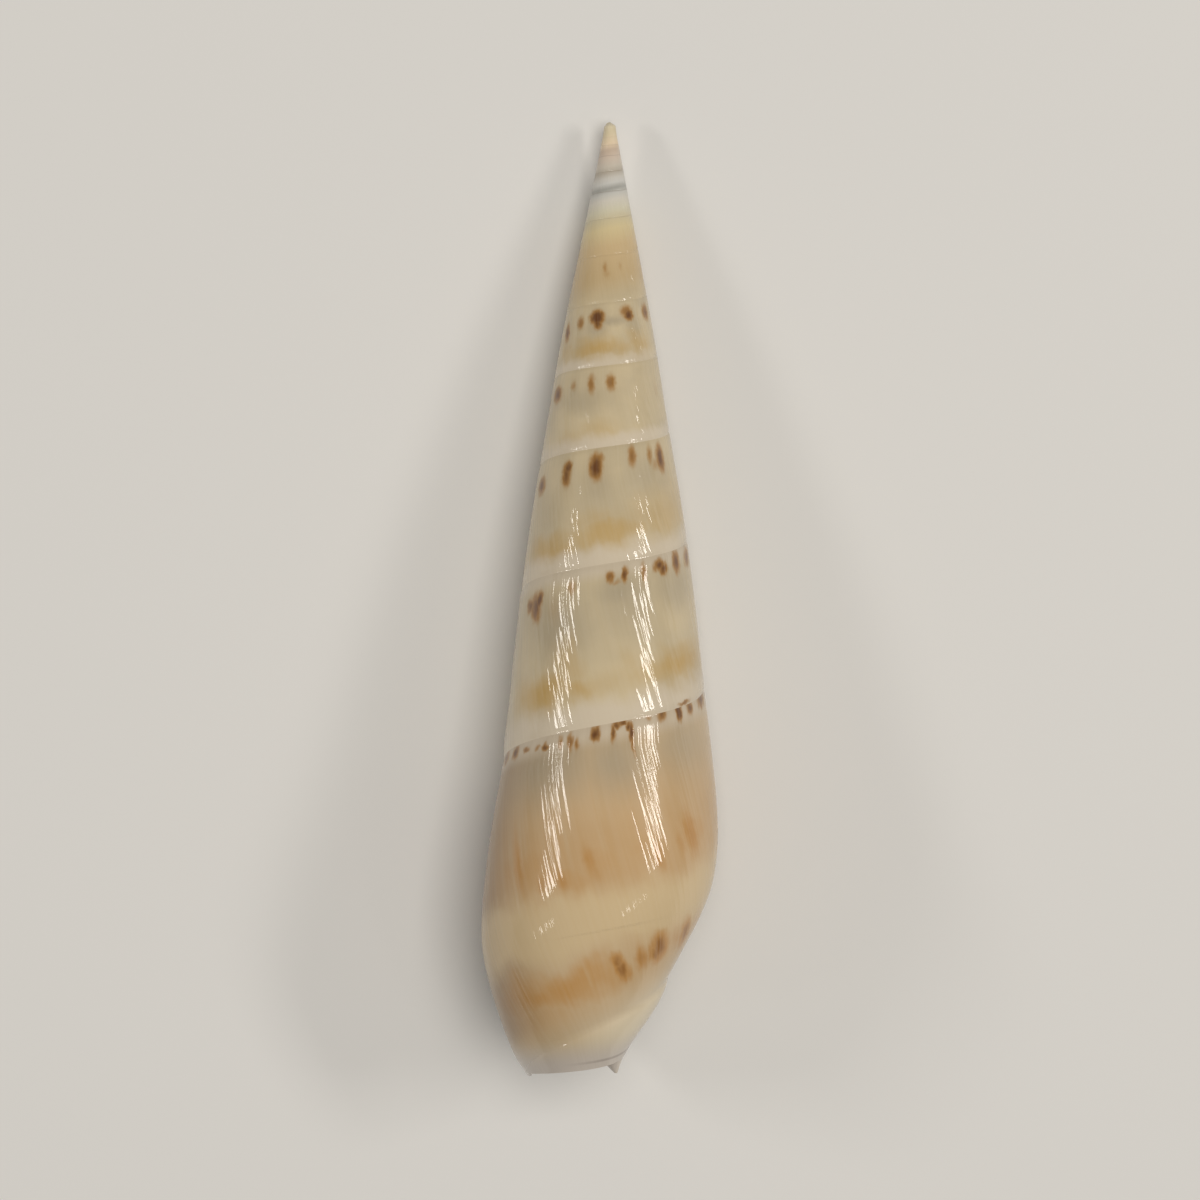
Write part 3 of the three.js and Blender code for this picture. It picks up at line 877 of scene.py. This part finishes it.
def paint_skin(tree, target):
    shader = Shader(tree)
    place, growth, across = shader.layer("growth")
    _, turn, share = shader.layer("site")
    _, _, down = shader.layer("inner")
    _, _, up = shader.layer("rim")
    depth = shader.times(down, LENGTH)
    above_rim = shader.times(up, LENGTH)

    # Zones: the body whorl, the whorls after the plain early ones, and the unseen side.
    body = shader.rise(turn, -0.25, 0.05)
    grown = shader.rise(turn, -4.2, -3.6)
    away = shader.between(shader.math("FRACT", turn), 0.5, 0.56, 0.94, 1.0)

    # Slow and quick unevenness, drawn out along the lines of growth.
    cloudy = shader.grain(growth, across, 7, 1.8, seed=3.0, detail=3.0)
    streaky = shader.grain(growth, across, 55, 1.6, seed=11.0, detail=3.0)
    fine = shader.grain(growth, across, 180, 1.0, seed=5.0, detail=1.0)
    wide_lines = shader.grain(growth, across, 95, 2.2, seed=63.0, detail=1.0)
    ragged_u = shader.grain(growth, across, 90, 14, seed=21.0)
    ragged_v = shader.grain(growth, across, 90, 14, seed=27.0)
    drift_u = shader.grain(growth, across, 16, 3.5, seed=41.0, detail=3.0)
    drift_v = shader.grain(growth, across, 16, 3.5, seed=47.0, detail=3.0)
    ragged = shader.moved(place, shader.swing(ragged_u, 0.012), shader.swing(ragged_v, 0.05))
    drifting = shader.moved(place, shader.swing(drift_u, 0.09), shader.swing(drift_v, 0.3))
    wavy = shader.plus(across, shader.swing(drift_v, 0.22))
    wavy = shader.plus(wavy, shader.swing(streaky, 0.08))

    # The early whorls are plain: cream at the tip, then pinkish, white, yellow and tan.
    colour = shader.mix(
        body, ground(shader, cloudy, SPIRE_GROUND), ground(shader, cloudy, BODY_GROUND))
    stops = [(z / EARLY_DEPTH, linear(*seen)) for z, seen in EARLY_COLOURS]
    early = shader.ramp(shader.times(depth, 1 / EARLY_DEPTH), stops)
    colour = shader.mix(shader.rise(depth, 192, 150), colour, early)

    # Below the dashes the shell lets a cold grey through, lower down it is amber.
    shade_spots, _ = spots(shader, ragged, spot_group("shade", 1.7), SHADES)
    under = shader.between(across, 0.04, 0.16, 0.24, 0.6)
    hidden_shade = shader.times(under, away, shader.rise(cloudy, 0.3, 0.6), grown, 0.8)
    shade = shader.strongest(shade_spots, hidden_shade)
    colour = shader.paint(shader.times(shade, 0.7), colour, SHADE_GREY)

    body_amber = shader.times(shader.between(wavy, 0.15, 0.6, 0.7, 0.9), body, 0.45)
    spire_zone = shader.between(wavy, 0.5, 0.74, 0.83, 0.93)
    hidden_amber = shader.times(spire_zone, away, shader.rise(cloudy, 0.42, 0.62), grown, 0.8)
    hidden_band = shader.times(shader.between(wavy, 1.02, 1.16, 1.26, 1.44), away, 0.7)
    cloud_spots, _ = spots(shader, drifting, spot_group("cloud", 1.8), CLOUDS)
    amber = shader.strongest(body_amber, cloud_spots, hidden_amber, hidden_band)
    amber = shader.times(amber, shader.rise(streaky, 0.05, 0.5))
    amber_colour = shader.mix(body, linear(*SPIRE_AMBER), linear(*BODY_AMBER))
    colour = shader.mix(shader.times(amber, 0.85), colour, amber_colour)

    # Painted shade: the left flank of the body whorl is painted a deeper brown, where the light from the
    # right falls off.
    shaded_flank = shader.times(shader.rise(turn, 0.34, 0.47), shader.rise(share, 1.0, 0.9), 0.65)
    colour = shader.paint(shaded_flank, colour, FLANK_SHADE_BROWN)

    # Pale bands run above and below each suture and round the middle of the body whorl.
    spire_only = shader.rise(turn, LIP_ANGLE - 1, LIP_ANGLE - 1.02)
    pale_spire = shader.times(shader.rise(wavy, 0.78, 0.93), grown, spire_only)
    colour = shader.paint(shader.times(pale_spire, 0.85), colour, SPIRE_PALE)
    pale_top = shader.times(shader.rise(across, 0.12, 0.03), shader.rise(turn, -1.6, -0.9))
    colour = shader.paint(shader.times(pale_top, 0.8), colour, TOP_PALE)
    pale_body = shader.times(shader.between(wavy, 0.72, 0.86, 1.0, 1.14), body)
    colour = shader.paint(shader.times(pale_body, 0.6), colour, BODY_PALE)

    # The base fades to grey white, painted lighter on its right side and darker on its left as the light
    # from the right falls, up to a thin painted shadow line beside the rim of the notch.
    base = shader.times(shader.rise(share, 0.86, 1.06), shader.rise(turn, -0.5, -0.3))
    # Painted light and shade: the right side of the base is painted lighter, the left side darker.
    base_colour = shader.mix(
        shader.rise(turn, 0.36, 0.2), linear(*BASE_SHADED_LEFT), linear(*BASE_LIT_RIGHT))
    colour = shader.mix(shader.times(base, 0.9), colour, base_colour)
    edge = shader.times(shader.rise(above_rim, 34, 4, 0.8), shader.rise(turn, -0.1, 0.1))
    colour = shader.paint(edge, colour, EDGE_GREY)
    # Painted shadow: a thin dark line beside the rim of the notch, where its groove lies in shade.
    rim_shadow_line = shader.times(
        shader.between(above_rim, 5.2, 6.4, 7.2, 8.8), shader.between(turn, 0.06, 0.12, 0.24, 0.38), 0.4)
    colour = shader.paint(rim_shadow_line, colour, RIM_SHADOW_BROWN)

    # Brown streaks on the body whorl, and brown dashes below the sutures.
    streaks, _ = spots(shader, ragged, spot_group("streak", 1.8), STREAKS)
    colour = shader.paint(shader.rise(streaks, 0.0, 0.6, 0.75), colour, STREAK_TAN)
    colour = shader.paint(shader.rise(streaks, 0.45, 1.0, 0.85), colour, STREAK_BROWN)
    dashes, halo = spots(shader, ragged, spot_group("dash", 1.8), DASHES)
    parts = shader.tree.nodes.new("ShaderNodeSeparateXYZ")
    shader.feed(parts.inputs[0], ragged)
    hidden = hidden_dashes(shader, parts.outputs["X"], parts.outputs["Y"], turn)
    dashes = shader.strongest(dashes, hidden)
    colour = shader.paint(shader.times(halo, 0.2), colour, HALO_TAN)
    colour = shader.paint(shader.rise(dashes, 0.02, 0.5, 0.9), colour, DASH_TAN)
    colour = shader.paint(shader.rise(dashes, 0.28, 0.9, 0.95), colour, DASH_BROWN)

    # Painted shade: the sutures are painted a little darker, most on the early whorls, for the shade in
    # their grooves, and the fine lines a little paler.
    suture_shade_strength = shader.plus(0.06, shader.rise(turn, -5.0, -7.0, 0.3))
    suture_shade = shader.times(shader.rise(across, 0.05, 0.005), suture_shade_strength, shader.rise(depth, 10, 20))
    colour = shader.paint(suture_shade, colour, SUTURE_SHADE_BROWN)
    light = shader.rise(fine, 0.25, 0.75)
    colour = shader.paint(shader.times(light, 0.03), colour, LINE_WHITE)
    shader.feed(target.inputs["Base Color"], colour)

    # The gloss breaks up on the lines of growth, and the colour below it stays smooth.
    spire_lines = shader.times(wide_lines, 1.5, shader.minus(1.0, body))
    lines = shader.plus(shader.times(fine, 0.8, body), spire_lines)
    relief = shader.plus(shader.times(streaky, 0.8), lines)
    smooth_base = shader.times(shader.rise(share, 0.82, 0.95, 0.9), shader.rise(turn, -0.6, -0.4))
    relief = shader.times(relief, shader.minus(1.0, smooth_base))
    shader.feed(target.inputs["Normal"], bump(shader, relief, SOFT_RELIEF))
    shader.feed(target.inputs["Coat Normal"], bump(shader, relief, CRISP_RELIEF))
    target.inputs["Roughness"].default_value = 0.4
    target.inputs["Specular IOR Level"].default_value = 0.2
    target.inputs["Coat Weight"].default_value = 0.65
    target.inputs["Coat Roughness"].default_value = 0.05
    target.inputs["Coat IOR"].default_value = 1.7


def paint_lining(tree, target):
    shader = Shader(tree)
    _, growth, across = shader.layer("growth")
    _, turn, _ = shader.layer("site")
    _, radius, _ = shader.layer("inner")
    uneven = shader.grain(growth, across, 9, 3, seed=8.0, detail=3.0)
    lines = shader.grain(growth, across, 60, 2, seed=4.0, detail=3.0)
    colour = ground(shader, uneven, LINING_BROWN)
    colour = shader.paint(shader.rise(radius, 0.42, 0.22), colour, PILLAR_WHITE)
    colour = shader.paint(shader.rise(turn, LIP_ANGLE - 0.05, LIP_ANGLE), colour, LIP_PALE)
    shader.feed(target.inputs["Base Color"], colour)
    shader.feed(target.inputs["Normal"], bump(shader, lines, LINING_RELIEF))
    shader.feed(target.inputs["Roughness"], shader.plus(0.2, shader.times(uneven, 0.1)))
    target.inputs["Coat Weight"].default_value = 0.4
    target.inputs["Coat Roughness"].default_value = 0.1


skin, skin_shader = material("shell_skin")
paint_skin(skin.node_tree, skin_shader)
lining, lining_shader = material("shell_lining")
paint_lining(lining.node_tree, lining_shader)
mesh.materials.clear()
mesh.materials.append(skin)
mesh.materials.append(lining)

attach(piece, "root")
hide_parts("shell")

# Floor, camera and lights. The floor is a square that reaches this far, in metres.
FLOOR_REACH = 1.5
FLOOR_COLOUR = (0.8, 0.79, 0.77, 1)
LAMP_COLOUR = (1, 0.965, 0.91)
WORLD_COLOUR = (1, 0.97, 0.92, 1)
WORLD_STRENGTH = 0.11
LIT_DEPTH = 560

corners = [(x * FLOOR_REACH, y * FLOOR_REACH, 0) for x, y in ((-1, -1), (1, -1), (1, 1), (-1, 1))]
floor = mesh_object("floor", corners, [(0, 1, 2, 3)])
floor_material, floor_shader = material("floor_paper")
floor_shader.inputs["Base Color"].default_value = FLOOR_COLOUR
floor_shader.inputs["Roughness"].default_value = 0.9
floor.data.materials.append(floor_material)


def at(x, z):
    """Where a point of the plane through the shell's axis, given in units, lies in the scene."""
    return lay @ Vector((x * UNIT, -z * UNIT, 0)) + Vector(shift)


camera = bpy.data.cameras.new("camera")
camera.lens = LENS
camera.sensor_width = SENSOR
camera.clip_start = 0.01
eye = bpy.data.objects.new("camera", camera)
bpy.context.scene.collection.objects.link(eye)
bpy.context.scene.camera = eye
eye.location = at(*AIM) + lay @ Vector((0, 0, CAMERA_UNITS * UNIT))
eye.rotation_euler = lay.to_euler()


def area_light(name, side, along, power, width, length, distance, slant=0, mirrored=True):
    """A soft box, side degrees to the right of straight above and along degrees towards the base.

    Its end over the base leans slant degrees to the right. Lengths are in metres, power in watts.
    """
    light = bpy.data.lights.new(name, "AREA")
    light.shape = "RECTANGLE"
    light.size = width
    light.size_y = length
    light.energy = power
    light.color = LAMP_COLOUR
    holder = bpy.data.objects.new(name, light)
    bpy.context.scene.collection.objects.link(holder)
    side, along = math.radians(side), math.radians(along)
    towards = lay @ Vector((math.sin(side) * math.cos(along), -math.sin(along),
                            math.cos(side) * math.cos(along)))
    across_shell = (lay @ Vector((0, 1, 0))).cross(towards).normalized()
    along_shell = towards.cross(across_shell)
    lean_right = Matrix.Rotation(math.radians(slant), 3, towards)
    frame_axes = Matrix((lean_right @ across_shell, lean_right @ along_shell, towards)).transposed()
    holder.location = at(0, LIT_DEPTH) + towards * distance
    holder.rotation_euler = frame_axes.to_euler()
    holder.visible_glossy = mirrored


# Two boxes give the bands of highlights, two small lamps the glints above the sutures.
area_light("left_box", side=-54, along=-7, power=0.2, width=0.04, length=0.13, distance=0.4, slant=30)
area_light("right_box", side=50, along=-7, power=0.3, width=0.05, length=0.14, distance=0.4, slant=20)
area_light("left_spark", side=-54, along=17, power=0.018, width=0.03, length=0.03, distance=0.4)
area_light("right_spark", side=38, along=17, power=0.018, width=0.03, length=0.03, distance=0.4)
area_light("fill", side=10, along=-2, power=4.6, width=0.5, length=0.5, distance=0.9, mirrored=False)

world = bpy.data.worlds.new("studio")
bpy.context.scene.world = world
world.use_nodes = True
background = world.node_tree.nodes["Background"]
background.inputs["Color"].default_value = WORLD_COLOUR
background.inputs["Strength"].default_value = WORLD_STRENGTH
bpy.context.scene.view_settings.view_transform = "Standard"
